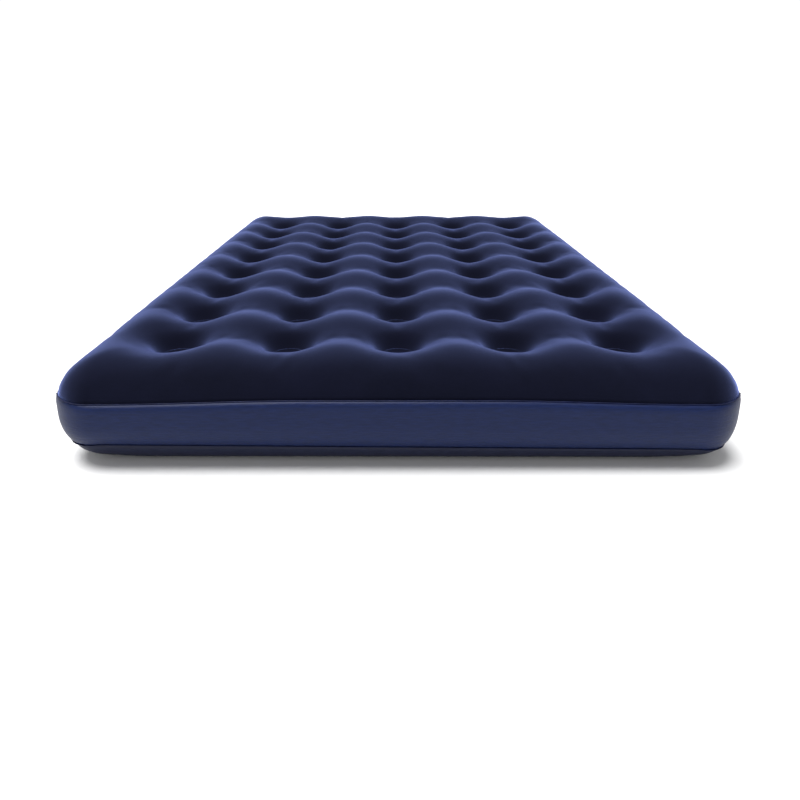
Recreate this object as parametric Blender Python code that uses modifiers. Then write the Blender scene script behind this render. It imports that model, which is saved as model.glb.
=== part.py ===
"""Air mattress: a flocked top sheet, a base sheet and a side band, forty welded coil tubes inside,
and a screw-in valve with a non-return flap and a tethered cap on the band at the back end.

Metres, +Z up. X runs across the width and Y along the length; the valve is on the +Y end.
"""
from math import cos, pi, sin, sqrt

import bmesh
import bpy
from mathutils import Matrix, Vector

# Overall inflated size of the bed
WIDTH = 1.370
LENGTH = 1.910
HEIGHT = 0.220
CORNER_RADIUS = 0.100

# Weld grid: one dimple in each sheet for every coil tube
COLUMNS = 5
ROWS = 8
PITCH_X = 0.240
PITCH_Y = 0.210
WELD_RADIUS = 0.035
PIT_RADIUS = 0.075
TOP_WELD_HEIGHT = 0.155
BASE_WELD_HEIGHT = 0.050
BASE_PIT_RADIUS = 0.088
QUILT_POWER = 0.50
RIM_FADE = 0.75
RIM_CELL_INSET = 0.100

# Sheets
FLOCK_SHEET = 0.0005
PVC_SHEET = 0.0004
GAP = 0.0003

# Top seam, and the rounded shoulder that rises from it to the crests
SEAM_HEIGHT = 0.149
SEAM_INSET = 0.0100
SHOULDER_REACH = 0.115
SHOULDER_INSETS = (0.072, 0.042, 0.022, SEAM_INSET)
HEM_DROP = 0.004

# Side band from its top edge to its bottom edge, and the curl of the base: (inset, height)
BAND_PROFILE = (
    (0.0086, 0.147),
    (0.0030, 0.137),
    (0.0, 0.124),
    (0.0, 0.066),
    (0.0110, 0.050),
    (0.0340, 0.041),
)
BASE_PROFILE = (
    (0.076, 0.0),
    (0.054, 0.0100),
    (0.0350, 0.0400),
)
ARC_STEPS = 4

# Coil tubes
COIL_RADIUS = 0.033
COIL_SIDES = 8

# Valve: its axis points along +Y out of the back of the band; depths below are distances outwards
VALVE_X = -0.470
VALVE_HEIGHT = 0.088
VALVE_Y = LENGTH / 2
HOLE_RADIUS = 0.0197
NECK_RADIUS = 0.0190
SOCKET_RADIUS = 0.0165
FLANGE_RADIUS = 0.0300
FLANGE_BACK = GAP
FLANGE_FRONT = 0.0015
NECK_END = -0.0220
LIP_RADIUS = 0.0150
LIP_LENGTH = 0.0015
SEAL_RADIUS = 0.0185
SEAL_WIRE = 0.0010
HEAD_BACK = FLANGE_FRONT + 2 * SEAL_WIRE + 2 * GAP
HEAD_FRONT = HEAD_BACK + 0.0030
HEAD_RADIUS = 0.0215
SKIRT_RADIUS = 0.0154
SKIRT_WALL = 0.0012
SKIRT_END = -0.0120
BORE_RADIUS = 0.0095
BORE_WALL = 0.0014
BORE_END = -0.0160
WEB = 0.0014
THREAD_CREST = 0.0161
THREAD_ROOT = 0.0149
THREAD_WIDTH = 0.0022
THREAD_LEAD = 0.012
THREAD_TURNS = 0.75
THREAD_START = -0.0105
CHAMFER = 0.0005

# Non-return flap: it closes the inner end of the bore and hangs from its upper edge
FLAP_RADIUS = 0.0108
FLAP_THICKNESS = 0.0010
FLAP_HINGE = 0.0118
FLAP_TAB_WIDTH = 0.0100

# Cap, its plug, and the strap that ties it to the insert
CAP_RADIUS = 0.0200
CAP_THICKNESS = 0.0020
PLUG_RADIUS = 0.0089
PLUG_WALL = 0.0014
PLUG_LENGTH = 0.0035
STRAP_INNER = HEAD_RADIUS + GAP
STRAP_OUTER = 0.0238
STRAP_BACK = HEAD_BACK + 0.0005
STRAP_THICKNESS = 0.0018
CAP_HINGE = 0.0262
TONGUE_WIDTH = 0.0080
TONGUE_CLEARANCE = 0.0006
STRAP_END = 0.0288
GRIP_END = 0.0245
GRIP_WIDTH = 0.0100

TURNED_STEPS = 40
SEAL_SECTION_STEPS = 8


def clear_scene():
    """Remove whatever the scene holds."""
    for obj in list(bpy.data.objects):
        bpy.data.objects.remove(obj, do_unlink=True)


def collection(name):
    """A new collection in the scene."""
    made = bpy.data.collections.new(name)
    bpy.context.scene.collection.children.link(made)
    return made


def material(name, colour, roughness, metallic=0.0):
    """A Principled material with one colour, given as linear red, green, blue."""
    made = bpy.data.materials.new(name)
    made.use_nodes = True
    shader = made.node_tree.nodes["Principled BSDF"]
    shader.inputs["Base Color"].default_value = (*colour, 1.0)
    shader.inputs["Roughness"].default_value = roughness
    shader.inputs["Metallic"].default_value = metallic
    made.diffuse_color = (*colour, 1.0)
    return made


def add_object(name, bm, finish, origin=(0.0, 0.0, 0.0), target=None):
    """Make an object of a bmesh given in world places, with its own origin."""
    bm.transform(Matrix.Translation(-Vector(origin)))
    bmesh.ops.recalc_face_normals(bm, faces=bm.faces)
    mesh = bpy.data.meshes.new(name)
    bm.to_mesh(mesh)
    bm.free()
    obj = bpy.data.objects.new(name, mesh)
    obj.location = origin
    (target or PARTS).objects.link(obj)
    if finish:
        mesh.materials.append(finish)
    return obj


def solidify(obj, thickness):
    """Give an open sheet its thickness, inwards from the side its faces look to."""
    shell = obj.modifiers.new("thickness", "SOLIDIFY")
    shell.thickness = thickness
    shell.offset = -1.0
    shell.use_even_offset = True


def join_shape(obj, other, operation):
    """Cut another mesh out of an object, or weld it on."""
    shape = obj.modifiers.new(operation.lower(), "BOOLEAN")
    shape.object = other
    shape.operation = operation
    shape.solver = "EXACT"
    other.hide_render = True
    other.display_type = "WIRE"


def smooth(obj, angle=35.0):
    """Smooth shading with edges sharper than an angle kept crisp."""
    for face in obj.data.polygons:
        face.use_smooth = True
    obj.data.set_sharp_from_angle(angle=angle * pi / 180.0)


def grid_lines(count, pitch, outer):
    """Cell edges and cell middles along one axis, from one rim of the weld grid to the other."""
    half = (count - 1) / 2
    lines = [-outer]
    for index in range(count):
        centre = (index - half) * pitch
        lines.append(centre)
        lines.append(centre + pitch / 2)
    lines[-1] = outer
    return lines


LINES_X = grid_lines(COLUMNS, PITCH_X, WIDTH / 2 - RIM_CELL_INSET)
LINES_Y = grid_lines(ROWS, PITCH_Y, LENGTH / 2 - RIM_CELL_INSET)


def outline(inset):
    """Four sides and four corners of the plan outline, drawn in by an inset, anticlockwise from above.

    Each entry is a list of (x, y). Even entries are sides and odd entries are corner arcs.
    """
    half_x = WIDTH / 2 - inset
    half_y = LENGTH / 2 - inset
    centre_x = WIDTH / 2 - CORNER_RADIUS
    centre_y = LENGTH / 2 - CORNER_RADIUS
    radius = CORNER_RADIUS - inset
    inner_x = LINES_X[1:-1]
    inner_y = LINES_Y[1:-1]

    def arc(sign_x, sign_y, start):
        points = []
        for step in range(ARC_STEPS + 1):
            angle = (start + 90.0 * step / ARC_STEPS) * pi / 180.0
            x = sign_x * centre_x + radius * cos(angle)
            y = sign_y * centre_y + radius * sin(angle)
            points.append((x, y))
        return points

    return [
        [(x, -half_y) for x in inner_x],
        arc(1, -1, -90.0),
        [(half_x, y) for y in inner_y],
        arc(1, 1, 0.0),
        [(x, half_y) for x in reversed(inner_x)],
        arc(-1, 1, 90.0),
        [(-half_x, y) for y in reversed(inner_y)],
        arc(-1, -1, 180.0),
    ]


def ring(bm, inset, height):
    """Vertices of one closed ring round the bed."""
    return [[bm.verts.new((x, y, height)) for x, y in part] for part in outline(inset)]


def flat(parts):
    """One list of the vertices in a ring's sides and corners."""
    return [vertex for part in parts for vertex in part]


def bridge(bm, first, second):
    """Faces between two rings with the same number of vertices."""
    count = len(first)
    for i in range(count):
        j = (i + 1) % count
        bm.faces.new((first[i], first[j], second[j], second[i]))


def shoulder_height(inset):
    """Height of the rounded shoulder, which rises steeply from the seam and flattens at the crest."""
    share = min(max((inset - SEAM_INSET) / SHOULDER_REACH, 0.0), 1.0)
    return SEAM_HEIGHT + (HEIGHT - SEAM_HEIGHT) * sqrt(1.0 - (1.0 - share) ** 2)


def across_cell(value, lines):
    """Place across the nearest cell, 0 at its weld and 1 at its edge, and whether that edge is the rim."""
    centre = min(lines[1::2], key=lambda line: abs(line - value))
    index = lines.index(centre)
    side = 1 if value > centre else -1
    edge = lines[index + side]
    share = abs(value - centre) / abs(edge - centre)
    return share, edge in (lines[0], lines[-1])


def quilt_share(x, y):
    """Rise of the quilted top over its welds, 0 at a weld and 1 where four cells meet.

    Between two welds the sheet saddles about half-way down; along the rim the welds' pull fades.
    """
    across, on_side = across_cell(x, LINES_X)
    along, on_end = across_cell(y, LINES_Y)
    wave_x = cos(pi * across)
    wave_y = cos(pi * along)
    if on_side:
        keep = 1.0 - RIM_FADE * across
        wave_y = wave_y * keep - (1.0 - keep)
    if on_end:
        keep = 1.0 - RIM_FADE * along
        wave_x = wave_x * keep - (1.0 - keep)
    wave = max((wave_x + wave_y) / 2, -1.0)
    return ((1.0 - wave) / 2) ** QUILT_POWER


def top_height(x, y):
    """Height of the quilted top outside its weld discs."""
    at_weld = ((1.0 - cos(pi * 2 * WELD_RADIUS / PITCH_X)) / 4) ** QUILT_POWER
    share = (quilt_share(x, y) - at_weld) / (1.0 - at_weld)
    return TOP_WELD_HEIGHT + (HEIGHT - TOP_WELD_HEIGHT) * max(share, 0.0)


def quilted_grid(bm, weld_height, pit_radius, surface):
    """One dimple in each cell of the weld grid. Returns the grid of cell-edge vertices.

    surface gives the height at a place outside the flat weld discs.
    """
    verts = {}
    for i, x in enumerate(LINES_X):
        for j, y in enumerate(LINES_Y):
            middle = i % 2 == 1 and j % 2 == 1
            if not middle:
                verts[i, j] = bm.verts.new((x, y, surface(x, y)))
    around = ((1, 0), (1, 1), (0, 1), (-1, 1), (-1, 0), (-1, -1), (0, -1), (1, -1))
    for i in range(1, len(LINES_X), 2):
        for j in range(1, len(LINES_Y), 2):
            circles = []
            for radius in (WELD_RADIUS, pit_radius):
                circle = []
                for step in range(8):
                    angle = step * pi / 4
                    x = LINES_X[i] + radius * cos(angle)
                    y = LINES_Y[j] + radius * sin(angle)
                    height = weld_height if radius == WELD_RADIUS else surface(x, y)
                    circle.append(bm.verts.new((x, y, height)))
                circles.append(circle)
            edge = [verts[i + a, j + b] for a, b in around]
            bm.faces.new(circles[0])
            bridge(bm, circles[0], circles[1])
            bridge(bm, circles[1], edge)
    return verts


def join_grid_to_ring(bm, verts, parts):
    """Faces from the rim of the weld grid out to a ring, with a fan at each corner."""
    last_i = len(LINES_X) - 1
    last_j = len(LINES_Y) - 1
    sides = [
        [verts[i, 0] for i in range(1, last_i)],
        [verts[last_i, j] for j in range(1, last_j)],
        [verts[i, last_j] for i in range(last_i - 1, 0, -1)],
        [verts[0, j] for j in range(last_j - 1, 0, -1)],
    ]
    corners = [verts[last_i, 0], verts[last_i, last_j], verts[0, last_j], verts[0, 0]]
    for k in range(4):
        side, outer = sides[k], parts[2 * k]
        for a in range(len(side) - 1):
            bm.faces.new((side[a], outer[a], outer[a + 1], side[a + 1]))
        arc, corner = parts[2 * k + 1], corners[k]
        after, outer_after = sides[(k + 1) % 4][0], parts[(2 * k + 2) % 8][0]
        bm.faces.new((side[-1], outer[-1], arc[0], corner))
        for a in range(len(arc) - 1):
            bm.faces.new((corner, arc[a], arc[a + 1]))
        bm.faces.new((corner, arc[-1], outer_after, after))


def make_top_panel():
    """Flocked top: crests, dimples over the coils, rounded shoulder and a short hem inside the band."""
    bm = bmesh.new()

    def surface(x, y):
        inset = min(WIDTH / 2 - abs(x), LENGTH / 2 - abs(y))
        crest = shoulder_height(inset)
        return crest - (HEIGHT - top_height(x, y))

    verts = quilted_grid(bm, TOP_WELD_HEIGHT, PIT_RADIUS, surface)
    rings = [ring(bm, inset, shoulder_height(inset)) for inset in SHOULDER_INSETS]
    rings.append(ring(bm, SEAM_INSET, SEAM_HEIGHT - HEM_DROP))
    join_grid_to_ring(bm, verts, rings[0])
    for inner, outer in zip(rings, rings[1:]):
        bridge(bm, flat(inner), flat(outer))
    obj = add_object("top_panel", bm, FLOCK, (0.0, 0.0, SEAM_HEIGHT))
    face_outwards(obj, 1.0)
    solidify(obj, FLOCK_SHEET)
    smooth(obj)


def make_bottom_panel():
    """Base sheet: flat treads between the coils' dimples, curling up to the bottom seam."""
    bm = bmesh.new()
    verts = quilted_grid(bm, BASE_WELD_HEIGHT, BASE_PIT_RADIUS, lambda x, y: 0.0)
    rings = [ring(bm, inset, height) for inset, height in BASE_PROFILE]
    join_grid_to_ring(bm, verts, rings[0])
    for inner, outer in zip(rings, rings[1:]):
        bridge(bm, flat(inner), flat(outer))
    obj = add_object("bottom_panel", bm, BASE_PVC)
    face_outwards(obj, -1.0)
    solidify(obj, PVC_SHEET)
    smooth(obj)


def face_outwards(obj, upwards):
    """Turn an open sheet's faces over if its middle looks the wrong way."""
    lean = sum(face.normal.z * face.area for face in obj.data.polygons)
    if lean * upwards < 0.0:
        obj.data.flip_normals()


def make_side_band(hole):
    """Side band between the two seams, with the valve's hole in its back run."""
    bm = bmesh.new()
    rings = [ring(bm, inset, height) for inset, height in BAND_PROFILE]
    for upper, lower in zip(rings, rings[1:]):
        bridge(bm, flat(upper), flat(lower))
    obj = add_object("side_band", bm, BAND_PVC)
    outwards = sum(face.center.x * face.normal.x * face.area for face in obj.data.polygons)
    if outwards < 0.0:
        obj.data.flip_normals()
    solidify(obj, PVC_SHEET)
    join_shape(obj, hole, "DIFFERENCE")
    smooth(obj)


def make_coils():
    """Open tubes welded at their ends to the dimples of the top and the base."""
    low = BASE_WELD_HEIGHT + PVC_SHEET + GAP
    high = TOP_WELD_HEIGHT - FLOCK_SHEET - GAP
    for row in range(ROWS):
        for column in range(COLUMNS):
            bm = bmesh.new()
            bmesh.ops.create_cone(
                bm,
                cap_ends=False,
                segments=COIL_SIDES,
                radius1=COIL_RADIUS,
                radius2=COIL_RADIUS,
                depth=high - low,
            )
            x = LINES_X[2 * column + 1]
            y = LINES_Y[2 * row + 1]
            bm.transform(Matrix.Translation((x, y, (low + high) / 2)))
            obj = add_object(f"coil_r{row + 1}_c{column + 1}", bm, COIL_PVC, (x, y, low))
            solidify(obj, PVC_SHEET)
            smooth(obj, 60.0)


def valve_place(x=0.0, out=0.0, up=0.0):
    """World place of a point given across, outwards and upwards from where the valve's axis meets the band."""
    return Vector((VALVE_X + x, VALVE_Y + out, VALVE_HEIGHT + up))


def box(name, low, high, target=None, finish=None, origin=None):
    """A box between two corners given across, outwards and upwards from the valve."""
    bm = bmesh.new()
    low, high = valve_place(*low), valve_place(*high)
    bmesh.ops.create_cube(bm, size=1.0)
    bm.transform(Matrix.Translation((low + high) / 2) @ Matrix.Diagonal((*(high - low), 1.0)))
    return add_object(name, bm, finish, origin or valve_place(), target)


def turned(name, profile, finish, closed=False):
    """A shape turned about the valve's axis from a profile of (radius, distance outwards)."""
    mesh = bpy.data.meshes.new(name)
    count = len(profile)
    edges = [(i, i + 1) for i in range(count - 1)]
    if closed:
        edges.append((count - 1, 0))
    mesh.from_pydata([(radius, 0.0, out) for radius, out in profile], edges, [])
    mesh.materials.append(finish)
    obj = bpy.data.objects.new(name, mesh)
    obj.location = valve_place()
    obj.rotation_euler = (-pi / 2, 0.0, 0.0)
    PARTS.objects.link(obj)
    spin = obj.modifiers.new("turn", "SCREW")
    spin.axis = "Z"
    spin.steps = TURNED_STEPS
    spin.render_steps = TURNED_STEPS
    spin.use_merge_vertices = True
    spin.merge_threshold = 0.0001
    spin.use_smooth_shade = True
    return obj


def make_valve_base():
    """Flange welded to the band, with a neck inside the bed that the insert screws into."""
    profile = [
        (FLANGE_RADIUS, FLANGE_FRONT - CHAMFER),
        (FLANGE_RADIUS, FLANGE_BACK),
        (NECK_RADIUS, FLANGE_BACK),
        (NECK_RADIUS, NECK_END),
        (LIP_RADIUS, NECK_END),
        (LIP_RADIUS, NECK_END + LIP_LENGTH),
        (SOCKET_RADIUS, NECK_END + LIP_LENGTH),
        (SOCKET_RADIUS, FLANGE_FRONT),
        (FLANGE_RADIUS - CHAMFER, FLANGE_FRONT),
    ]
    turned("valve_base", profile, VALVE_PVC, closed=True)


def make_valve_seal():
    """Ring seal squeezed between the flange and the insert's head."""
    profile = []
    for step in range(SEAL_SECTION_STEPS):
        angle = -2 * pi * step / SEAL_SECTION_STEPS
        radius = SEAL_RADIUS + SEAL_WIRE * cos(angle)
        out = FLANGE_FRONT + GAP + SEAL_WIRE + SEAL_WIRE * sin(angle)
        profile.append((radius, out))
    turned("valve_seal", profile, SEAL_RUBBER, closed=True)


def thread_ridge(target):
    """Helical ridge to be welded on the insert's skirt."""
    bm = bmesh.new()
    steps = int(TURNED_STEPS * THREAD_TURNS)
    loops = []
    half = THREAD_WIDTH / 2
    section = (
        (THREAD_ROOT, -half),
        (THREAD_CREST, -half / 2),
        (THREAD_CREST, half / 2),
        (THREAD_ROOT, half),
    )
    for step in range(steps + 1):
        turn = THREAD_TURNS * step / steps
        angle = 2 * pi * turn
        rise = THREAD_START + THREAD_LEAD * turn
        loop = []
        for radius, shift in section:
            x = radius * sin(angle)
            up = radius * cos(angle)
            loop.append(bm.verts.new(valve_place(x, rise + shift, up)))
        loops.append(loop)
    for first, second in zip(loops, loops[1:]):
        bridge(bm, first, second)
    bm.faces.new(loops[0])
    bm.faces.new(loops[-1])
    return add_object("insert_thread", bm, None, valve_place(), target)


def make_valve_insert(target):
    """Screw-in insert: a head, a threaded skirt, and the inner tube that a pump's nozzle enters."""
    profile = [
        (HEAD_RADIUS - CHAMFER, HEAD_FRONT),
        (HEAD_RADIUS, HEAD_FRONT - CHAMFER),
        (HEAD_RADIUS, HEAD_BACK),
        (SKIRT_RADIUS, HEAD_BACK),
        (SKIRT_RADIUS, SKIRT_END),
        (SKIRT_RADIUS - SKIRT_WALL, SKIRT_END),
        (SKIRT_RADIUS - SKIRT_WALL, HEAD_FRONT - WEB),
        (BORE_RADIUS + BORE_WALL, HEAD_FRONT - WEB),
        (BORE_RADIUS + BORE_WALL, BORE_END),
        (BORE_RADIUS, BORE_END),
        (BORE_RADIUS, HEAD_FRONT - CHAMFER),
        (BORE_RADIUS + CHAMFER, HEAD_FRONT),
    ]
    obj = turned("valve_insert", profile, INSERT_PLASTIC, closed=True)
    join_shape(obj, thread_ridge(target), "UNION")


def make_valve_flap(target):
    """Soft non-return disc with a hinge tab along its upper edge."""
    back = BORE_END - GAP - FLAP_THICKNESS
    hinge = valve_place(0.0, BORE_END - GAP, FLAP_HINGE)
    bm = bmesh.new()
    bmesh.ops.create_cone(
        bm,
        cap_ends=True,
        segments=TURNED_STEPS,
        radius1=FLAP_RADIUS,
        radius2=FLAP_RADIUS,
        depth=FLAP_THICKNESS,
    )
    centre = valve_place(0.0, back + FLAP_THICKNESS / 2, 0.0)
    bm.transform(Matrix.Translation(centre) @ Matrix.Rotation(-pi / 2, 4, "X"))
    obj = add_object("valve_flap", bm, FLAP_PVC, hinge)
    tab = box(
        "flap_tab",
        (-FLAP_TAB_WIDTH / 2, back + 0.1 * FLAP_THICKNESS, 0.0),
        (FLAP_TAB_WIDTH / 2, back + 0.9 * FLAP_THICKNESS, FLAP_HINGE),
        target,
    )
    join_shape(obj, tab, "UNION")


def pivot(obj, place):
    """Hang an object on an empty that stands on its joint's axis."""
    holder = bpy.data.objects.new(f"{obj.name}_pivot", None)
    holder.location = place
    PARTS.objects.link(holder)
    obj.parent = holder
    obj.location = obj.location - place


def make_valve_cap(target):
    """Cap with a short hollow plug, a finger grip on one side and its hinge tongue on the other."""
    back = HEAD_FRONT + GAP
    front = back + CAP_THICKNESS
    profile = [
        (0.0, front),
        (CAP_RADIUS - CHAMFER, front),
        (CAP_RADIUS, front - CHAMFER),
        (CAP_RADIUS, back),
        (PLUG_RADIUS, back),
        (PLUG_RADIUS, back - PLUG_LENGTH + CHAMFER),
        (PLUG_RADIUS - CHAMFER, back - PLUG_LENGTH),
        (PLUG_RADIUS - PLUG_WALL, back - PLUG_LENGTH),
        (PLUG_RADIUS - PLUG_WALL, back + 0.5 * CAP_THICKNESS),
        (0.0, back + 0.5 * CAP_THICKNESS),
    ]
    obj = turned("valve_cap", profile, CAP_PVC)
    inside = CAP_RADIUS - 0.002
    low = back + 0.1 * CAP_THICKNESS
    high = back + 0.9 * CAP_THICKNESS
    half_tongue = TONGUE_WIDTH / 2
    half_grip = GRIP_WIDTH / 2
    reach = CAP_HINGE - TONGUE_CLEARANCE
    tongue = box("cap_tongue", (inside, low, -half_tongue), (reach, high, half_tongue), target)
    grip = box("cap_grip", (-GRIP_END, low, -half_grip), (-inside, high, half_grip), target)
    join_shape(obj, tongue, "UNION")
    join_shape(obj, grip, "UNION")
    pivot(obj, valve_place(CAP_HINGE, back + TONGUE_CLEARANCE, 0.0))


def make_valve_strap(target):
    """Retaining ring round the insert's head, with the tongue that the cap hinges on."""
    front = STRAP_BACK + STRAP_THICKNESS
    profile = [
        (STRAP_OUTER, front),
        (STRAP_OUTER, STRAP_BACK),
        (STRAP_INNER, STRAP_BACK),
        (STRAP_INNER, front),
    ]
    obj = turned("valve_strap", profile, CAP_PVC, closed=True)
    low = STRAP_BACK + 0.1 * STRAP_THICKNESS
    high = STRAP_BACK + 0.9 * STRAP_THICKNESS
    half_tongue = TONGUE_WIDTH / 2
    inside = STRAP_OUTER - 0.001
    tongue = box("strap_tongue", (inside, low, -half_tongue), (STRAP_END, high, half_tongue), target)
    join_shape(obj, tongue, "UNION")


def valve_hole(target):
    """Blank that cuts the valve's round hole in the band."""
    bm = bmesh.new()
    bmesh.ops.create_cone(
        bm,
        cap_ends=True,
        segments=TURNED_STEPS,
        radius1=HOLE_RADIUS,
        radius2=HOLE_RADIUS,
        depth=HOLE_RADIUS,
    )
    bm.transform(Matrix.Translation(valve_place()) @ Matrix.Rotation(-pi / 2, 4, "X"))
    return add_object("valve_hole", bm, None, valve_place(), target)


clear_scene()
PARTS = collection("air_mattress")
CUTTERS = collection("cutters")
CUTTERS.hide_render = True
FLOCK = material("flocked_pvc", (0.030, 0.036, 0.115), 0.95)
BAND_PVC = material("band_pvc", (0.022, 0.033, 0.090), 0.45)
BASE_PVC = material("base_pvc", (0.020, 0.021, 0.036), 0.55)
COIL_PVC = material("coil_pvc", (0.040, 0.052, 0.130), 0.40)
VALVE_PVC = material("valve_pvc", (0.018, 0.024, 0.060), 0.40)
INSERT_PLASTIC = material("insert_plastic", (0.010, 0.012, 0.020), 0.35)
FLAP_PVC = material("flap_pvc", (0.120, 0.125, 0.140), 0.40)
CAP_PVC = material("cap_pvc", (0.020, 0.030, 0.085), 0.40)
SEAL_RUBBER = material("seal_rubber", (0.008, 0.008, 0.008), 0.60)

make_top_panel()
make_bottom_panel()
make_side_band(valve_hole(CUTTERS))
make_coils()
make_valve_base()
make_valve_seal()
make_valve_insert(CUTTERS)
make_valve_flap(CUTTERS)
make_valve_cap(CUTTERS)
make_valve_strap(CUTTERS)
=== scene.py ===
# %% [markdown]
# # An inflated air bed
#
# An air bed of this kind is a flat box of welded PVC sheet. A velvety top sheet and a plain base sheet are
# joined by a smooth side band, and open tubes of sheet, the coils, tie the top to the base. Each coil pulls
# a round dimple into both sheets, and that is what keeps the bed flat to lie on.
#
# The lesson builds it in that order: the top, the band, the base, the welded lips between them, the coils
# inside, and then the finishes, the light and the camera.

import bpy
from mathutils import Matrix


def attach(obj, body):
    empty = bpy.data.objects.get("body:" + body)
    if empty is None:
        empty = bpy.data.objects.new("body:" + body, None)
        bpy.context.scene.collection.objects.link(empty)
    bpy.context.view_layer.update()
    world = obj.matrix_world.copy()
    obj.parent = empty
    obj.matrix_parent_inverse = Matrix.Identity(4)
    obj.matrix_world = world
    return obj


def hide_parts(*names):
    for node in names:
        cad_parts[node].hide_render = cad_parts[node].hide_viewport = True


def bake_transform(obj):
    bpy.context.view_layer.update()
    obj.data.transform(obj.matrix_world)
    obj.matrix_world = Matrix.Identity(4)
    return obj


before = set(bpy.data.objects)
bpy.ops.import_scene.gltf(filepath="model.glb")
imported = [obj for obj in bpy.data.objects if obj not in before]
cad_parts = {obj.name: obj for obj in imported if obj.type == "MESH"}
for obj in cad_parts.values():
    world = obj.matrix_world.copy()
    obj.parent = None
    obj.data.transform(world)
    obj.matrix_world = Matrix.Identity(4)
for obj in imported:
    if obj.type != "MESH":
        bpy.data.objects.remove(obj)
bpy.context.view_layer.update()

from math import cos, hypot, pi, radians, sin

import bmesh
import bpy
import numpy as np
from mathutils import Matrix, Vector

# %% [markdown]
# ## Sizes
#
# Every size below is in metres and belongs to the real bed: a double, 1.37 m wide and 1.91 m long, with 5
# columns and 8 rows of coils. The welds stay where the coils hold them, and the sheets bulge between them.

# %% Sizes of the bed
WIDTH = 1.370
LENGTH = 1.910
HEIGHT = 0.220
CORNER = 0.096
COLUMNS = 5
ROWS = 8
PITCH_X = 0.240
PITCH_Y = 0.210
WELD_RADIUS = 0.035
TOP_WELD = 0.155
BASE_WELD = 0.050
SEAM_TOP = 0.1500
SEAM_BASE = 0.042
FLOCKED_SHEET = 0.0005
PLAIN_SHEET = 0.0004

COLUMN_PLACES = [(c - (COLUMNS - 1) / 2) * PITCH_X for c in range(COLUMNS)]
ROW_PLACES = [(r - (ROWS - 1) / 2) * PITCH_Y for r in range(ROWS)]
print("first weld from the sides:", round(WIDTH / 2 + COLUMN_PLACES[0], 4))
print("first weld from the ends:", round(LENGTH / 2 + ROW_PLACES[0], 4))

# %% [markdown]
# ## Working by hand in code
#
# Two small helpers keep the steps short. One drops every selection, because an operator acts on all that is
# selected. The other adds a modifier and applies it at once, as the Apply button does.

# %% Helpers for modelling


def start_clean():
    """Leave object mode with nothing selected."""
    if bpy.context.object and bpy.context.object.mode != "OBJECT":
        bpy.ops.object.mode_set(mode="OBJECT")
    bpy.ops.object.select_all(action="DESELECT")


def choose(piece):
    """Make one piece the selected and active object."""
    start_clean()
    piece.select_set(True)
    bpy.context.view_layer.objects.active = piece


def apply_modifier(piece, kind, **settings):
    """Add a modifier with its settings and apply it."""
    choose(piece)
    modifier = piece.modifiers.new(kind.lower(), kind)
    for name, value in settings.items():
        setattr(modifier, name, value)
    bpy.ops.object.modifier_apply(modifier=modifier.name)


def move_points(piece, new_place):
    """Move every point of a piece to new_place(point)."""
    for vertex in piece.data.vertices:
        vertex.co = new_place(vertex.co)
    piece.data.update()


# %% [markdown]
# ## The rounded outline
#
# Seen from above the bed is a rectangle with round corners, and every ring of the sheets is that outline
# drawn in by an inset. A grid of squares has square corners, so its corner squares are turned into quarter
# circles: a point's larger offset from the corner's centre becomes its radius, and its smaller one its angle.

# %% Placing a point on the outline


def corner_polar(px, py):
    """Turn a point of a square corner into the radius and angle of a round one."""
    radius = max(px, py)
    if radius <= 0.0:
        return 0.0, pi / 4
    angle = (py / px) * pi / 4 if px >= py else pi / 2 - (px / py) * pi / 4
    return radius, angle


def outline_point(travel, inset):
    """Point and outward direction on the outline at a share of the way round, anticlockwise from +X."""
    half_x = WIDTH / 2 - CORNER
    half_y = LENGTH / 2 - CORNER
    arc = CORNER * pi / 2
    runs = [2 * half_y, arc, 2 * half_x, arc, 2 * half_y, arc, 2 * half_x, arc]
    left = (travel % 1.0) * sum(runs)
    index = 0
    while left > runs[index]:
        left -= runs[index]
        index += 1
    quarter = index // 2
    if index % 2 == 0:
        direction = quarter * pi / 2
        along = left - runs[index] / 2
        flat_reach = half_x if quarter % 2 == 0 else half_y
        out = Vector((cos(direction), sin(direction)))
        side = Vector((-sin(direction), cos(direction)))
        return out * (flat_reach + CORNER - inset) + side * along, out
    direction = quarter * pi / 2 + (left / arc) * pi / 2
    out = Vector((cos(direction), sin(direction)))
    signs = [(1, 1), (-1, 1), (-1, -1), (1, -1)][quarter]
    centre = Vector((signs[0] * half_x, signs[1] * half_y))
    return centre + out * (CORNER - inset), out


print("a corner point:", [round(v, 3) for v in outline_point(0.18, 0.0)[0]])

# %% [markdown]
# ## Profiles
#
# The shoulder is the top sheet's round edge, from the seam up to the crests. The band bulges between the two
# seams like a stretched bow, so it faces a little up at its top edge and down at its lower one. The base
# curls under from the lower seam until it lies on the floor.

# %% Section of the shoulder
SEAM_INSET = 0.0105
SHOULDER_REACH = 0.128
BASE_SEAM_INSET = 0.029


def shoulder_point(turn):
    """Inset and height over the seam, as a share of the rise, from 0 at the seam to 1 at the crest."""
    angle = turn * pi / 2
    return SEAM_INSET + SHOULDER_REACH * (1 - cos(angle)), sin(angle)


turns = np.linspace(0, 1, 401)
shoulder = np.array([shoulder_point(t) for t in turns])
steps = np.hypot(np.diff(shoulder[:, 0]), np.diff(shoulder[:, 1]) * (HEIGHT - SEAM_TOP))
shoulder_length = np.concatenate([[0.0], np.cumsum(steps)])
SHOULDER_LENGTH = float(shoulder_length[-1])
SHOULDER_INSET = float(shoulder[-1, 0])
print("shoulder:", round(SHOULDER_LENGTH, 4), "m of sheet over", SHOULDER_REACH, "m of plan")

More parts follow.
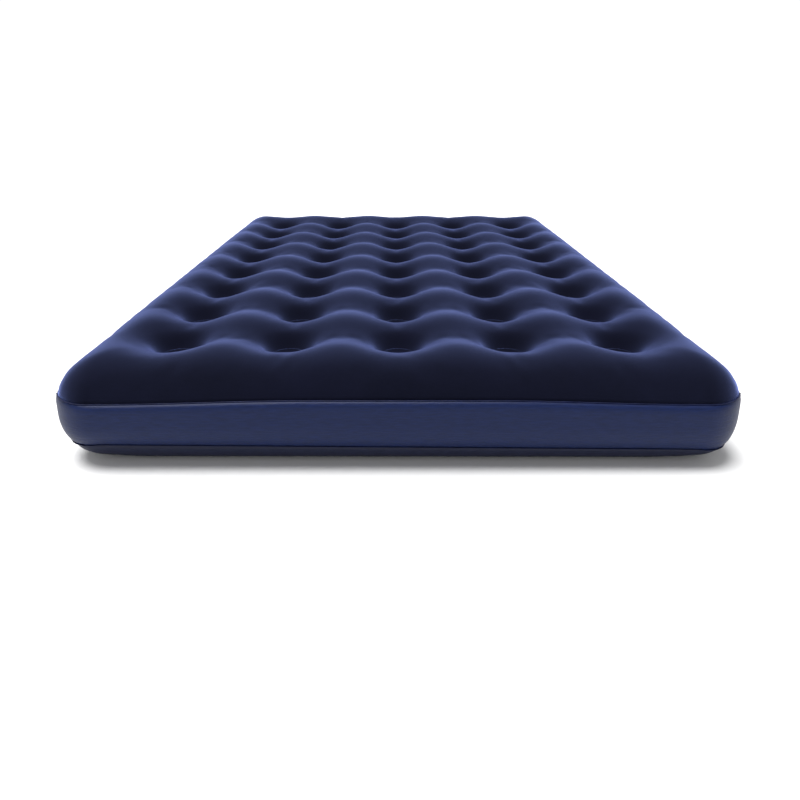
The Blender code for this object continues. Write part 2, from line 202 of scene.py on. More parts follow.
# %% [markdown]
# The seams of a blown-up bed aren't level. The top seam sags by several millimetres where each side meets a
# corner, because the corners take up more sheet, and the lower one is a little out of level as well. Round a
# corner the band can't bulge past its seams as it does along a side, so there both seams stand further out.

# %% How far the seams sag
SEAM_SAG = 0.0085
SAG_RUN = 0.42
SAG_IN_CORNER = 0.35
BASE_LEAN = 0.005
TOP_SEAM_OUT = 0.0065
BASE_SEAM_OUT = 0.0110


def smooth_step(value):
    """0 below 0, 1 above 1, and smooth between."""
    value = min(max(value, 0.0), 1.0)
    return value * value * (3 - 2 * value)


def top_seam_height(x, y):
    """Height of the top seam next to a point of the plan."""
    past_x = abs(x) - (WIDTH / 2 - CORNER)
    past_y = abs(y) - (LENGTH / 2 - CORNER)
    if past_x > 0 and past_y > 0:
        angle = np.arctan2(past_y, past_x)
        return SEAM_TOP - SEAM_SAG * (SAG_IN_CORNER + (1 - SAG_IN_CORNER) * abs(cos(2 * angle)))
    near_corner = max(min(past_x, past_y) / SAG_RUN + 1, 0.0)
    return SEAM_TOP - SEAM_SAG * smooth_step(near_corner)


def base_seam_height(x, y):
    """Height of the lower seam next to a point of the plan. It leans a little across each end."""
    near_end = smooth_step((abs(y) - 0.5) / 0.4)
    return SEAM_BASE - BASE_LEAN * (x / 0.6) * near_end


print("top seam, mid end and corner:", SEAM_TOP, round(top_seam_height(0.59, -0.95), 4))

# %% [markdown]
# ## The quilted surface
#
# The air lifts the sheet everywhere but at its welds. What is left lies below the crests in three ways: a
# round pit with steep walls over each coil, a groove along each column of coils, and a shallower one along
# each row, because the columns stand further apart than the rows. The three add up to the whole depth at a
# weld. Towards the ends of the bed nothing holds the grooves down, so they fade out.

# %% Depth of the quilt
PIT_RADIUS = 0.067
COLUMN_GROOVE = 0.38
ROW_GROOVE = 0.25
GROOVE_AT_RIM = 0.30
GROOVE_HOLD = 0.050
GROOVE_FADE = 0.090


def nearest_weld(x, y):
    """Centre of the weld that is nearest to a point."""
    column = min(COLUMN_PLACES, key=lambda place: abs(place - x))
    row = min(ROW_PLACES, key=lambda place: abs(place - y))
    return column, row


def groove(offset, pitch):
    """1 on a line of welds, 0 half-way to the next line."""
    return 0.5 + 0.5 * cos(2 * pi * min(offset / pitch, 0.5))


def quilt_depth(x, y):
    """Share of the full depth that the sheet lies below its crests, from 1 at a weld to 0 at a crest."""
    column, row = nearest_weld(x, y)
    away = hypot(x - column, y - row)
    pit = 1 - smooth_step((away - WELD_RADIUS) / (PIT_RADIUS - WELD_RADIUS))
    past_row = smooth_step((abs(y) - ROW_PLACES[-1] - GROOVE_HOLD) / GROOVE_FADE)
    past_column = smooth_step((abs(x) - COLUMN_PLACES[-1] - GROOVE_HOLD) / GROOVE_FADE)
    along = COLUMN_GROOVE * groove(abs(x - column), PITCH_X) * (1 - (1 - GROOVE_AT_RIM) * past_row)
    across = ROW_GROOVE * groove(abs(y - row), PITCH_Y) * (1 - (1 - GROOVE_AT_RIM) * past_column)
    return min(along + across + (1 - COLUMN_GROOVE - ROW_GROOVE) * pit, 1.0)


print("below the crests, mid column and mid row:", end=" ")
print(round(0.065 * quilt_depth(0, 0), 4), round(0.065 * quilt_depth(PITCH_X / 2, PITCH_Y / 2), 4))

# %% [markdown]
# ## The top sheet
#
# The real sheet is cut flat and is longer than the bed, because it also runs down the shoulders. So a grid
# of its flat size is added first, and each of its points is then moved to where the air pushes it: points
# near the rim wrap round the shoulder, and the rest rise and sink with the quilt. Round the corners the sheet
# has too much length for the seam, so it gathers in shallow puckers just above it.

# %% A flat sheet, with a square grid
TOP_SPACING = 0.0150


def flat_sheet(name, half_x, half_y, spacing):
    """A grid of the sheet's flat size, about spacing apart."""
    start_clean()
    count_x = round(2 * half_x / spacing)
    count_y = round(2 * half_y / spacing)
    bpy.ops.mesh.primitive_grid_add(x_subdivisions=count_x, y_subdivisions=count_y, size=1)
    piece = bpy.context.object
    piece.name = name
    piece.scale = (2 * half_x, 2 * half_y, 1)
    bpy.ops.object.transform_apply(location=False, rotation=False, scale=True)
    return piece


TOP_FLAT_X = WIDTH / 2 - SHOULDER_INSET + SHOULDER_LENGTH
TOP_FLAT_Y = LENGTH / 2 - SHOULDER_INSET + SHOULDER_LENGTH
top_sheet = flat_sheet("top_sheet", TOP_FLAT_X, TOP_FLAT_Y, TOP_SPACING)
print("flat top sheet:", round(2 * TOP_FLAT_X, 3), "x", round(2 * TOP_FLAT_Y, 3), "m")

# %% Wrap the rim and raise the quilt
FLAT_CORNER = CORNER - SHOULDER_INSET + SHOULDER_LENGTH
PUCKERS = 6
PUCKER_DEPTH = 0.0016
PUCKER_TOP = 0.7
QUILT_INSET = 0.125


def top_point(flat):
    """Where a point of the flat sheet lies on the inflated bed."""
    sign_x = 1 if flat.x >= 0 else -1
    sign_y = 1 if flat.y >= 0 else -1
    px = abs(flat.x) - (TOP_FLAT_X - FLAT_CORNER)
    py = abs(flat.y) - (TOP_FLAT_Y - FLAT_CORNER)
    in_corner = px > 0 and py > 0
    if in_corner:
        radius, angle = corner_polar(px, py)
        to_rim = FLAT_CORNER - radius
    else:
        to_rim = min(TOP_FLAT_X - abs(flat.x), TOP_FLAT_Y - abs(flat.y))
    to_rim = max(to_rim, 0.0)
    inset = float(np.interp(to_rim, shoulder_length, shoulder[:, 0])) + max(to_rim - SHOULDER_LENGTH, 0.0)
    share_up = float(np.interp(to_rim, shoulder_length, shoulder[:, 1]))
    if in_corner:
        gathered = sin(pi * min(share_up / PUCKER_TOP, 1.0)) * sin(2 * angle)
        inset -= TOP_SEAM_OUT * sin(2 * angle) * (1 - share_up)
        inset += PUCKER_DEPTH * gathered * (0.5 - 0.5 * cos(4 * PUCKERS * angle))
        reach = max(CORNER - inset, 0.0)
        x = WIDTH / 2 - CORNER + reach * cos(angle)
        y = LENGTH / 2 - CORNER + reach * sin(angle)
    else:
        x = WIDTH / 2 - inset if px > py else abs(flat.x)
        y = LENGTH / 2 - inset if py >= px else abs(flat.y)
    x, y = sign_x * x, sign_y * y
    seam = top_seam_height(x, y)
    height = seam + (HEIGHT - seam) * share_up
    fade = smooth_step(inset / QUILT_INSET)
    return Vector((x, y, height - fade * (HEIGHT - TOP_WELD) * quilt_depth(x, y)))


move_points(top_sheet, top_point)
lowest = min(v.co.z for v in top_sheet.data.vertices)
highest = max(v.co.z for v in top_sheet.data.vertices)
print("top sheet:", len(top_sheet.data.vertices), "points,", round(lowest, 4), "to", round(highest, 4))

# %% [markdown]
# ## Air pressure
#
# Up to here the sheet is drawn, and a drawn sheet is too even. Cloth simulation lets the air finish it. The
# seam and the welds are pinned, the sheet is given a little more cloth than its shape needs, and it is blown
# up: the spare cloth gathers in soft puckers round the welds and at the corners. No point may move further
# than a cap, so the bed keeps its shape.

# %% Blow up the top sheet
SPARE_CLOTH = 0.006
MOVE_CAP = 0.0022
SEAM_HOLD = 0.004
AIR_PRESSURE = 4.0
AIR_FRAMES = 20


def blow_up(piece, pinned, pressure, frames):
    """Run the cloth with its pinned points held, and keep each point's move within the cap."""
    start_places = [vertex.co.copy() for vertex in piece.data.vertices]
    group = piece.vertex_groups.new(name="held")
    for vertex in piece.data.vertices:
        group.add([vertex.index], pinned(vertex.co), "REPLACE")
    choose(piece)
    cloth = piece.modifiers.new("air", "CLOTH")
    cloth.settings.quality = 6
    cloth.settings.mass = 0.2
    cloth.settings.tension_stiffness = 30
    cloth.settings.compression_stiffness = 30
    cloth.settings.shear_stiffness = 15
    cloth.settings.bending_stiffness = 0.6
    cloth.settings.shrink_min = -SPARE_CLOTH
    cloth.settings.use_pressure = True
    cloth.settings.uniform_pressure_force = pressure
    cloth.settings.vertex_group_mass = "held"
    cloth.settings.effector_weights.gravity = 0
    cloth.collision_settings.use_collision = False
    cloth.collision_settings.use_self_collision = False
    cloth.point_cache.frame_start = 1
    cloth.point_cache.frame_end = frames
    for frame_number in range(1, frames + 1):
        bpy.context.scene.frame_set(frame_number)
    bpy.ops.object.modifier_apply(modifier="air")
    bpy.context.scene.frame_set(1)
    piece.vertex_groups.clear()
    furthest = 0.0
    for vertex, start_place in zip(piece.data.vertices, start_places):
        move = vertex.co - start_place
        furthest = max(furthest, move.length)
        if move.length > MOVE_CAP:
            vertex.co = start_place + move * (MOVE_CAP / move.length)
    piece.data.update()
    return furthest


def held_at(place):
    """1 where the sheet is welded, 0 where the air may move it."""
    column, row = nearest_weld(place.x, place.y)
    away = hypot(place.x - column, place.y - row)
    inset = min(WIDTH / 2 - abs(place.x), LENGTH / 2 - abs(place.y))
    at_seam = place.z < top_seam_height(place.x, place.y) + SEAM_HOLD
    return 1.0 if away < WELD_RADIUS or (at_seam and inset < CORNER) else 0.0


moved = blow_up(top_sheet, held_at, AIR_PRESSURE, AIR_FRAMES)
print("furthest move before the cap:", round(moved, 4))

# %% [markdown]
# One step of subdivision rounds the grid, and Solidify gives the sheet its half millimetre, inwards, so that
# it is a closed skin and not a bare surface.

# %% Smooth and thicken the top
apply_modifier(top_sheet, "SUBSURF", levels=1, render_levels=1)
apply_modifier(top_sheet, "SOLIDIFY", thickness=FLOCKED_SHEET, offset=-1.0, use_even_offset=False)
choose(top_sheet)
bpy.ops.object.shade_smooth()
print("top sheet faces:", len(top_sheet.data.polygons))

# %% [markdown]
# ## The side band
#
# The band is a strip of smooth PVC as long as the bed's outline. It is swept round: a column of points in
# section, at every step of the way. Round the valve the strip is drawn out flat to the back of the valve's
# flange, and a hole is cut in it for the valve's neck.

# %% Section of the band
BAND_STEPS_ROUND = 480
BAND_STEPS_UP = 24
BAND_SECTION = np.array(
    [
        (0.00, SEAM_INSET, 1.000),
        (0.05, 0.0066, 0.981),
        (0.10, 0.0038, 0.957),
        (0.15, 0.0019, 0.925),
        (0.21, 0.0008, 0.882),
        (0.27, 0.0002, 0.840),
        (0.34, 0.0000, 0.780),
        (0.50, 0.0000, 0.560),
        (0.62, 0.0010, 0.440),
        (0.74, 0.0042, 0.310),
        (0.85, 0.0105, 0.180),
        (0.93, 0.0185, 0.080),
        (1.00, BASE_SEAM_INSET, 0.000),
    ]
)


def band_section(share):
    """Inset, and height as a share of the band's, from 0 at the top seam to 1 at the lower seam."""
    inset = float(np.interp(share, BAND_SECTION[:, 0], BAND_SECTION[:, 1]))
    return inset, float(np.interp(share, BAND_SECTION[:, 0], BAND_SECTION[:, 2]))


BAND_WIDEST = 0.6

VALVE = Vector((-0.470, LENGTH / 2, 0.088))
SEAT_RADIUS = 0.034
SEAT_BLEND = 0.040
SEAT_FREE = 0.13


def seat_inset(point, inset, share_up):
    """Draw the band out to the flat back of the valve's flange round the valve, but not at its seams."""
    if point.y < 0:
        return inset
    away = hypot(point.x - VALVE.x, point.z - VALVE.z)
    hold = 1 - smooth_step((away - SEAT_RADIUS) / SEAT_BLEND)
    free = smooth_step(min(share_up, 1 - share_up) / SEAT_FREE)
    return inset * (1 - hold * free)


def make_ring(name, rings):
    """A closed skin of faces from rings of points that all have the same count."""
    bm = bmesh.new()
    rows = [[bm.verts.new(point) for point in ring] for ring in rings]
    count = len(rows[0])
    for upper, lower in zip(rows, rows[1:]):
        for i in range(count):
            j = (i + 1) % count
            bm.faces.new((upper[i], lower[i], lower[j], upper[j]))
    mesh = bpy.data.meshes.new(name)
    bm.to_mesh(mesh)
    bm.free()
    piece = bpy.data.objects.new(name, mesh)
    bpy.context.scene.collection.objects.link(piece)
    return piece


band_rings = []
for step_up in range(BAND_STEPS_UP + 1):
    section_inset, share_up = band_section(step_up / BAND_STEPS_UP)
    ring = []
    for step in range(BAND_STEPS_ROUND):
        travel = step / BAND_STEPS_ROUND
        place, out = outline_point(travel, section_inset)
        bend = 2 * abs(out.x * out.y)
        drawn_out = TOP_SEAM_OUT * section_inset / SEAM_INSET
        if share_up < BAND_WIDEST:
            drawn_out = BASE_SEAM_OUT * section_inset / BASE_SEAM_INSET
        inset = section_inset - bend * drawn_out
        place, out = outline_point(travel, inset)
        low, high = base_seam_height(*place), top_seam_height(*place)
        height = low + (high - low) * share_up
        drawn = seat_inset(Vector((place.x, place.y, height)), inset, share_up)
        place, out = outline_point(travel, drawn)
        ring.append(Vector((place.x, place.y, height)))
    band_rings.append(ring)
side_band = make_ring("side_band_skin", band_rings)
print("band:", len(side_band.data.polygons), "faces")

# %% Thicken the band and cut the valve's hole
HOLE_RADIUS = 0.0197
apply_modifier(side_band, "SUBSURF", levels=1, render_levels=1)
apply_modifier(side_band, "SOLIDIFY", thickness=PLAIN_SHEET, offset=-1.0, use_even_offset=False)
start_clean()
bpy.ops.mesh.primitive_cylinder_add(
    vertices=48, radius=HOLE_RADIUS, depth=0.03, location=VALVE, rotation=(pi / 2, 0, 0)
)
hole_blank = bpy.context.object
apply_modifier(side_band, "BOOLEAN", object=hole_blank, operation="DIFFERENCE", solver="EXACT")
bpy.data.objects.remove(hole_blank)
choose(side_band)
bpy.ops.object.shade_smooth()
print("band after the hole:", len(side_band.data.polygons), "faces")

# %% [markdown]
# ## The base sheet
#
# The base is cut from plain PVC and is dimpled from below by the same coils. It lies flat on the floor
# between the dimples and curls up at its rim to the lower seam.

# %% Section of the base and its flat size
BASE_SPACING = 0.0200
BASE_REACH = 0.046
base_angles = np.linspace(0, pi / 2, 201)
base_curl = np.array([(BASE_SEAM_INSET + BASE_REACH * (1 - cos(a)), 1 - sin(a)) for a in base_angles])
base_steps = np.hypot(np.diff(base_curl[:, 0]), np.diff(base_curl[:, 1]) * SEAM_BASE)
base_length = np.concatenate([[0.0], np.cumsum(base_steps)])
BASE_CURL = float(base_length[-1])
BASE_END = BASE_SEAM_INSET + BASE_REACH
BASE_FLAT_X = WIDTH / 2 - BASE_END + BASE_CURL
BASE_FLAT_Y = LENGTH / 2 - BASE_END + BASE_CURL
BASE_FLAT_CORNER = CORNER - BASE_END + BASE_CURL
base_sheet = flat_sheet("base_sheet", BASE_FLAT_X, BASE_FLAT_Y, BASE_SPACING)
print("flat base sheet:", round(2 * BASE_FLAT_X, 3), "x", round(2 * BASE_FLAT_Y, 3), "m")

# %% Curl the rim and press in the dimples
BASE_DIMPLE = 0.088
BASE_CORNER = 0.17
BASE_CORNER_LIFT = 0.55
BASE_LIFT_RUN = 0.7 * BASE_CORNER


def base_curl_height(flat, inset):
    """Share of the seam's height at an inset from the outline. The corners come down further in."""
    reach_x = abs(flat.x) - (BASE_FLAT_X - BASE_CORNER)
    reach_y = abs(flat.y) - (BASE_FLAT_Y - BASE_CORNER)
    stretch = 1 + BASE_CORNER_LIFT * smooth_step(min(reach_x, reach_y) / BASE_LIFT_RUN)
    share_in = min(max((inset - BASE_SEAM_INSET) / (BASE_REACH * stretch), 0.0), 1.0)
    return 1 - (1 - (1 - share_in) ** 2) ** 0.5


def base_point(flat):
    """Where a point of the flat base sheet lies under the bed."""
    sign_x = 1 if flat.x >= 0 else -1
    sign_y = 1 if flat.y >= 0 else -1
    px = abs(flat.x) - (BASE_FLAT_X - BASE_FLAT_CORNER)
    py = abs(flat.y) - (BASE_FLAT_Y - BASE_FLAT_CORNER)
    in_corner = px > 0 and py > 0
    if in_corner:
        radius, angle = corner_polar(px, py)
        to_rim = max(BASE_FLAT_CORNER - radius, 0.0)
    else:
        to_rim = max(min(BASE_FLAT_X - abs(flat.x), BASE_FLAT_Y - abs(flat.y)), 0.0)
    inset = float(np.interp(to_rim, base_length, base_curl[:, 0])) + max(to_rim - BASE_CURL, 0.0)
    share_up = base_curl_height(flat, inset)
    if in_corner:
        inset -= BASE_SEAM_OUT * sin(2 * angle) * max(1 - to_rim / BASE_CURL, 0.0)
        reach = max(CORNER - inset, 0.0)
        x = WIDTH / 2 - CORNER + reach * cos(angle)
        y = LENGTH / 2 - CORNER + reach * sin(angle)
    else:
        x = WIDTH / 2 - inset if px > py else abs(flat.x)
        y = LENGTH / 2 - inset if py >= px else abs(flat.y)
    x, y = sign_x * x, sign_y * y
    column, row = nearest_weld(x, y)
    away = hypot(x - column, y - row)
    rise = 1 - smooth_step((away - WELD_RADIUS) / (BASE_DIMPLE - WELD_RADIUS))
    return Vector((x, y, base_seam_height(x, y) * share_up + BASE_WELD * rise))


move_points(base_sheet, base_point)
choose(base_sheet)
bpy.ops.object.mode_set(mode="EDIT")
bpy.ops.mesh.select_all(action="SELECT")
bpy.ops.mesh.flip_normals()
bpy.ops.object.mode_set(mode="OBJECT")
apply_modifier(base_sheet, "SUBSURF", levels=1, render_levels=1)
apply_modifier(base_sheet, "SOLIDIFY", thickness=PLAIN_SHEET, offset=-1.0, use_even_offset=False)
choose(base_sheet)
bpy.ops.object.shade_smooth()
print("base faces:", len(base_sheet.data.polygons))

# %% [markdown]
# ## The welded lips
#
# Where two sheets are welded edge to edge a narrow fin is left over. It stands out of the bed as a thin lip
# all the way round, at the top seam and at the lower one. Round the corners the lip has more sheet than it
# needs, so it is crimped there.

# %% Two lips
LIP_REACH = 0.0020
LIP_THICKNESS = 0.0008
LIP_STEPS = 1440
CRIMPS = 400
CRIMP_DEPTH = 0.0009
LIP_ROOT = 0.0012


def make_lip(name, inset, corner_out, seam_height, tilt):
    """A thin fin round the outline that leans up or down by tilt."""
    section = [
        (inset + LIP_ROOT, LIP_THICKNESS / 2),
        (inset - LIP_REACH, LIP_THICKNESS / 2 + tilt),
        (inset - LIP_REACH - LIP_THICKNESS / 2, tilt),
        (inset - LIP_REACH, -LIP_THICKNESS / 2 + tilt),
        (inset + LIP_ROOT, -LIP_THICKNESS / 2),
        (inset + LIP_ROOT, LIP_THICKNESS / 2),
    ]
    rings = []
    for part_inset, part_height in section:
        ring = []
        for step in range(LIP_STEPS):
            place, out = outline_point(step / LIP_STEPS, part_inset)
            bend = 2 * abs(out.x * out.y)
            free = 1.0 if part_inset < inset else 0.0
            crimp = free * CRIMP_DEPTH * bend * sin(2 * pi * CRIMPS * step / LIP_STEPS)
            place += out * (corner_out * bend + crimp)
            ring.append(Vector((place.x, place.y, seam_height(*place) + part_height + crimp)))
        rings.append(ring)
    lip = make_ring(name, rings)
    choose(lip)
    bpy.ops.object.mode_set(mode="EDIT")
    bpy.ops.mesh.select_all(action="SELECT")
    bpy.ops.mesh.remove_doubles(threshold=0.00001)
    bpy.ops.mesh.normals_make_consistent(inside=False)
    bpy.ops.object.mode_set(mode="OBJECT")
    bpy.ops.object.shade_smooth()
    return lip


top_lip = make_lip("top_seam_lip", SEAM_INSET, TOP_SEAM_OUT, top_seam_height, 0.0006)
base_lip = make_lip("base_seam_lip", BASE_SEAM_INSET, BASE_SEAM_OUT, base_seam_height, -0.0008)
print("lips:", len(top_lip.data.polygons), len(base_lip.data.polygons))

# %% [markdown]
# ## The coils
#
# A coil is an open tube of thin sheet, a little narrower at its waist because the sheet is pulled straight
# between its welds. Small holes in its wall let the air through, so the bed fills as one chamber. One coil
# is modelled by hand and then copied under every dimple.

# %% Model one coil
COIL_RADIUS = 0.033
COIL_LOW = BASE_WELD + 0.0007
COIL_HIGH = TOP_WELD - 0.0008
WAIST = 0.93
VENTS = 4
VENT_RADIUS = 0.006
COIL_CUTS = (-0.4, -0.2, 0.0, 0.2, 0.4)


def model_coil():
    """One coil tube at the bed's middle, with a waist and vent holes."""
    start_clean()
    height = COIL_HIGH - COIL_LOW
    bpy.ops.mesh.primitive_cylinder_add(
        vertices=32,
        radius=COIL_RADIUS,
        depth=height,
        end_fill_type="NOTHING",
        location=(0, 0, (COIL_LOW + COIL_HIGH) / 2),
    )
    coil = bpy.context.object
    bpy.ops.object.transform_apply(location=True, rotation=False, scale=False)
    middle = (COIL_LOW + COIL_HIGH) / 2
    for cut in COIL_CUTS:
        choose(coil)
        bpy.ops.object.mode_set(mode="EDIT")
        bpy.ops.mesh.select_all(action="SELECT")
        bpy.ops.mesh.bisect(plane_co=(0, 0, middle + cut * height), plane_no=(0, 0, 1))
        bpy.ops.object.mode_set(mode="OBJECT")

    def waisted(point):
        share = abs(point.z - middle) / (height / 2)
        scale = WAIST + (1 - WAIST) * share * share
        return Vector((point.x * scale, point.y * scale, point.z))

    move_points(coil, waisted)
    apply_modifier(coil, "SOLIDIFY", thickness=PLAIN_SHEET, offset=-1.0)
    for vent in range(VENTS):
        start_clean()
        angle = pi / 4 + vent * pi / 2
        side = Vector((cos(angle), sin(angle), 0)) * COIL_RADIUS
        bpy.ops.mesh.primitive_cylinder_add(
            vertices=16,
            radius=VENT_RADIUS,
            depth=0.02,
            location=side + Vector((0, 0, middle)),
            rotation=(pi / 2, 0, angle + pi / 2),
        )
        punch = bpy.context.object
        apply_modifier(coil, "BOOLEAN", object=punch, operation="DIFFERENCE", solver="EXACT")
        bpy.data.objects.remove(punch)
    choose(coil)
    bpy.ops.object.shade_smooth_by_angle(angle=radians(40))
    return coil


first_coil = model_coil()
print("one coil:", len(first_coil.data.polygons), "faces")

# %% Copy the coil under every dimple
coils = {}
for row, y in enumerate(ROW_PLACES, start=1):
    for column, x in enumerate(COLUMN_PLACES, start=1):
        cad_node = f"coil_r{row}_c{column}"
        coil = first_coil.copy()
        coil.data = first_coil.data.copy()
        coil.name = f"tube_r{row}_c{column}"
        coil.data.transform(Matrix.Translation((x, y, 0)))
        bpy.context.scene.collection.objects.link(coil)
        coils[cad_node] = coil
bpy.data.objects.remove(first_coil)
print("coils:", len(coils))

# %% [markdown]
# ## Finishes
#
# A finish is a small tree of nodes. The helper below adds one node with its settings and its links, and
# another turns a colour from the hex value a painter would note down into the linear numbers of the shader.

# %% Helpers for finishes


def linear(hex_colour):
    """An sRGB hex colour as linear red, green, blue and alpha."""
    values = []
    for start in (1, 3, 5):
        value = int(hex_colour[start : start + 2], 16) / 255
        values.append(value / 12.92 if value <= 0.04045 else ((value + 0.055) / 1.055) ** 2.4)
    return (*values, 1.0)


def node(tree, kind, settings=None, inputs=None, links=None):
    """Add a node, set its settings and its sockets, by name or number, and link other nodes to it."""
    made = tree.nodes.new(kind)
    for name, value in (settings or {}).items():
        setattr(made, name, value)
    for name, value in (inputs or {}).items():
        made.inputs[name].default_value = value
    for name, source in (links or {}).items():
        tree.links.new(source, made.inputs[name])
    return made


def finish(name):
    """A new material with an empty tree and its output. Returns the material, its tree and its output."""
    made = bpy.data.materials.new(name)
    made.use_nodes = True
    tree = made.node_tree
    tree.nodes.clear()
    return made, tree, tree.nodes.new("ShaderNodeOutputMaterial")


# %% [markdown]
# ## Flocked PVC
#
# The top is PVC with short rayon fibres glued upright on it. Seen straight on the eye looks down between the
# fibres and the cloth is nearly black; seen at a low angle the fibres' sides catch the light, and the crests
# glow violet blue. A dark base colour with a strong sheen does that. Hands and folding leave the pile lying
# in different ways, so its colour clouds a little, over about 110 mm.
#
# A fibre is half a millimetre long and far too thin to show, so the bump draws tufts of 1.1 mm instead. The
# round welding tool leaves a ridge 3 mm wide round each weld. Folding the coordinates at half the spacing
# puts that one ring at every weld, and a limit keeps it off the shoulders.

# %% Flock
RING_WIDTH = 0.0032
RING_LIMIT = 0.06


def weld_rings(tree, place):
    """Height of the thin ridge that the round welding tool leaves round every weld."""
    axes = node(tree, "ShaderNodeSeparateXYZ", links={"Vector": place})
    fold = {"operation": "PINGPONG"}
    across = node(tree, "ShaderNodeMath", fold, inputs={1: PITCH_X / 2}, links={0: axes.outputs["X"]})
    along = node(tree, "ShaderNodeMath", fold, inputs={1: PITCH_Y / 2}, links={0: axes.outputs["Y"]})
    from_row = node(
        tree,
        "ShaderNodeMath",
        {"operation": "SUBTRACT"},
        inputs={0: PITCH_Y / 2},
        links={1: along.outputs["Value"]},
    )
    offset = node(
        tree,
        "ShaderNodeCombineXYZ",
        links={"X": across.outputs["Value"], "Y": from_row.outputs["Value"]},
    )
    away = node(
        tree,
        "ShaderNodeVectorMath",
        {"operation": "LENGTH"},
        links={"Vector": offset.outputs["Vector"]},
    )
    near = {"operation": "COMPARE"}
    ring = node(
        tree,
        "ShaderNodeMath",
        near,
        inputs={1: WELD_RADIUS, 2: RING_WIDTH / 2},
        links={0: away.outputs["Value"]},
    )
    for axis, last in (("X", COLUMN_PLACES[-1]), ("Y", ROW_PLACES[-1])):
        inside = node(
            tree,
            "ShaderNodeMath",
            near,
            inputs={1: 0.0, 2: last + RING_LIMIT},
            links={0: axes.outputs[axis]},
        )
        ring = node(
            tree,
            "ShaderNodeMath",
            {"operation": "MULTIPLY"},
            links={0: ring.outputs["Value"], 1: inside.outputs["Value"]},
        )
    return ring.outputs["Value"]


def flocked_pvc():
    """Navy rayon flock on PVC: dark between the fibres, with a violet-blue sheen along them."""
    made, tree, out = finish("flocked_pvc_navy")
    place = node(tree, "ShaderNodeTexCoord").outputs["Object"]
    clouds = node(
        tree,
        "ShaderNodeTexNoise",
        inputs={"Scale": 9.0, "Detail": 7.0, "Roughness": 0.66},
        links={"Vector": place},
    )
    ramp = node(tree, "ShaderNodeValToRGB", links={"Fac": clouds.outputs["Fac"]})
    ramp.color_ramp.elements[0].position = 0.30
    ramp.color_ramp.elements[0].color = linear("#060712")
    ramp.color_ramp.elements[1].position = 0.70
    ramp.color_ramp.elements[1].color = linear("#090a18")
    fibre = node(tree, "ShaderNodeTexNoise", inputs={"Scale": 900.0, "Detail": 2.0}, links={"Vector": place})
    fibre_bump = node(
        tree,
        "ShaderNodeBump",
        inputs={"Strength": 0.4, "Distance": 0.0008},
        links={"Height": fibre.outputs["Fac"]},
    )
    bump = node(
        tree,
        "ShaderNodeBump",
        inputs={"Strength": 1.0, "Distance": 0.0012},
        links={"Height": weld_rings(tree, place), "Normal": fibre_bump.outputs["Normal"]},
    )
    shader = node(
        tree,
        "ShaderNodeBsdfPrincipled",
        inputs={
            "Roughness": 0.95,
            "Specular IOR Level": 0.05,
            "Sheen Weight": 0.93,
            "Sheen Roughness": 0.38,
            "Sheen Tint": linear("#93a6f5"),
        },
        links={
            "Base Color": ramp.outputs["Color"],
            "Normal": bump.outputs["Normal"],
        },
    )
    tree.links.new(shader.outputs["BSDF"], out.inputs["Surface"])
    return made


FLOCK = flocked_pvc()

# %% [markdown]
# ## Calendered PVC
#
# The band is PVC sheet rolled smooth between hot cylinders. It has a soft gloss, and because the sheet is
# stretched along the bed and pulled in at the seams, fine ripples run along it: each is about 25 mm long and
# under 3 mm high. The rollers' grain is about half a millimetre, too fine to show, so it is drawn at 3 mm.

# %% Band, base and coils


def calendered_pvc(name, dark, light, roughness, ripple):
    """Rolled PVC sheet with a soft gloss and fine ripples along its length."""
    made, tree, out = finish(name)
    place = node(tree, "ShaderNodeTexCoord").outputs["Object"]
    mapping = node(tree, "ShaderNodeMapping", inputs={"Scale": (40.0, 40.0, 380.0)}, links={"Vector": place})
    streaks = node(
        tree,
        "ShaderNodeTexNoise",
        inputs={"Scale": 1.0, "Detail": 4.0, "Roughness": 0.55},
        links={"Vector": mapping.outputs["Vector"]},
    )
    ramp = node(tree, "ShaderNodeValToRGB", links={"Fac": streaks.outputs["Fac"]})
    ramp.color_ramp.elements[0].position = 0.30
    ramp.color_ramp.elements[0].color = linear(dark)
    ramp.color_ramp.elements[1].position = 0.72
    ramp.color_ramp.elements[1].color = linear(light)
    grain = node(tree, "ShaderNodeTexNoise", inputs={"Scale": 300.0, "Detail": 3.0}, links={"Vector": place})
    fine_bump = node(
        tree,
        "ShaderNodeBump",
        inputs={"Strength": 0.55, "Distance": 0.0008},
        links={"Height": grain.outputs["Fac"]},
    )
    bump = node(
        tree,
        "ShaderNodeBump",
        inputs={"Strength": ripple, "Distance": 0.0015},
        links={"Height": streaks.outputs["Fac"], "Normal": fine_bump.outputs["Normal"]},
    )
    shader = node(
        tree,
        "ShaderNodeBsdfPrincipled",
        inputs={"Roughness": roughness, "IOR": 1.53, "Specular IOR Level": 0.15},
        links={"Base Color": ramp.outputs["Color"], "Normal": bump.outputs["Normal"]},
    )
    tree.links.new(shader.outputs["BSDF"], out.inputs["Surface"])
    return made


BAND_PVC = calendered_pvc("calendered_pvc_blue", "#0b1738", "#101e47", 0.47, 0.40)
BASE_PVC = calendered_pvc("calendered_pvc_dark", "#171a2e", "#1f2338", 0.50, 0.3)
COIL_PVC = calendered_pvc("calendered_pvc_coil", "#2a3564", "#36427a", 0.38, 0.3)
LIP_PVC = calendered_pvc("welded_pvc_lip", "#161a34", "#20264a", 0.40, 0.2)

# %% [markdown]
# ## Moulded plastics
#
# The valve is injection moulded: the flange and the cap in soft PVC, the insert in hard ABS and its seal in
# rubber. Moulded plastic copies its tool, so its gloss is even and its grain is faint. The grain is drawn at
# 1.4 mm, coarser than the real one. The valve's pieces are the frame's own, and only get a finish.

# %% Moulded plastics of the valve


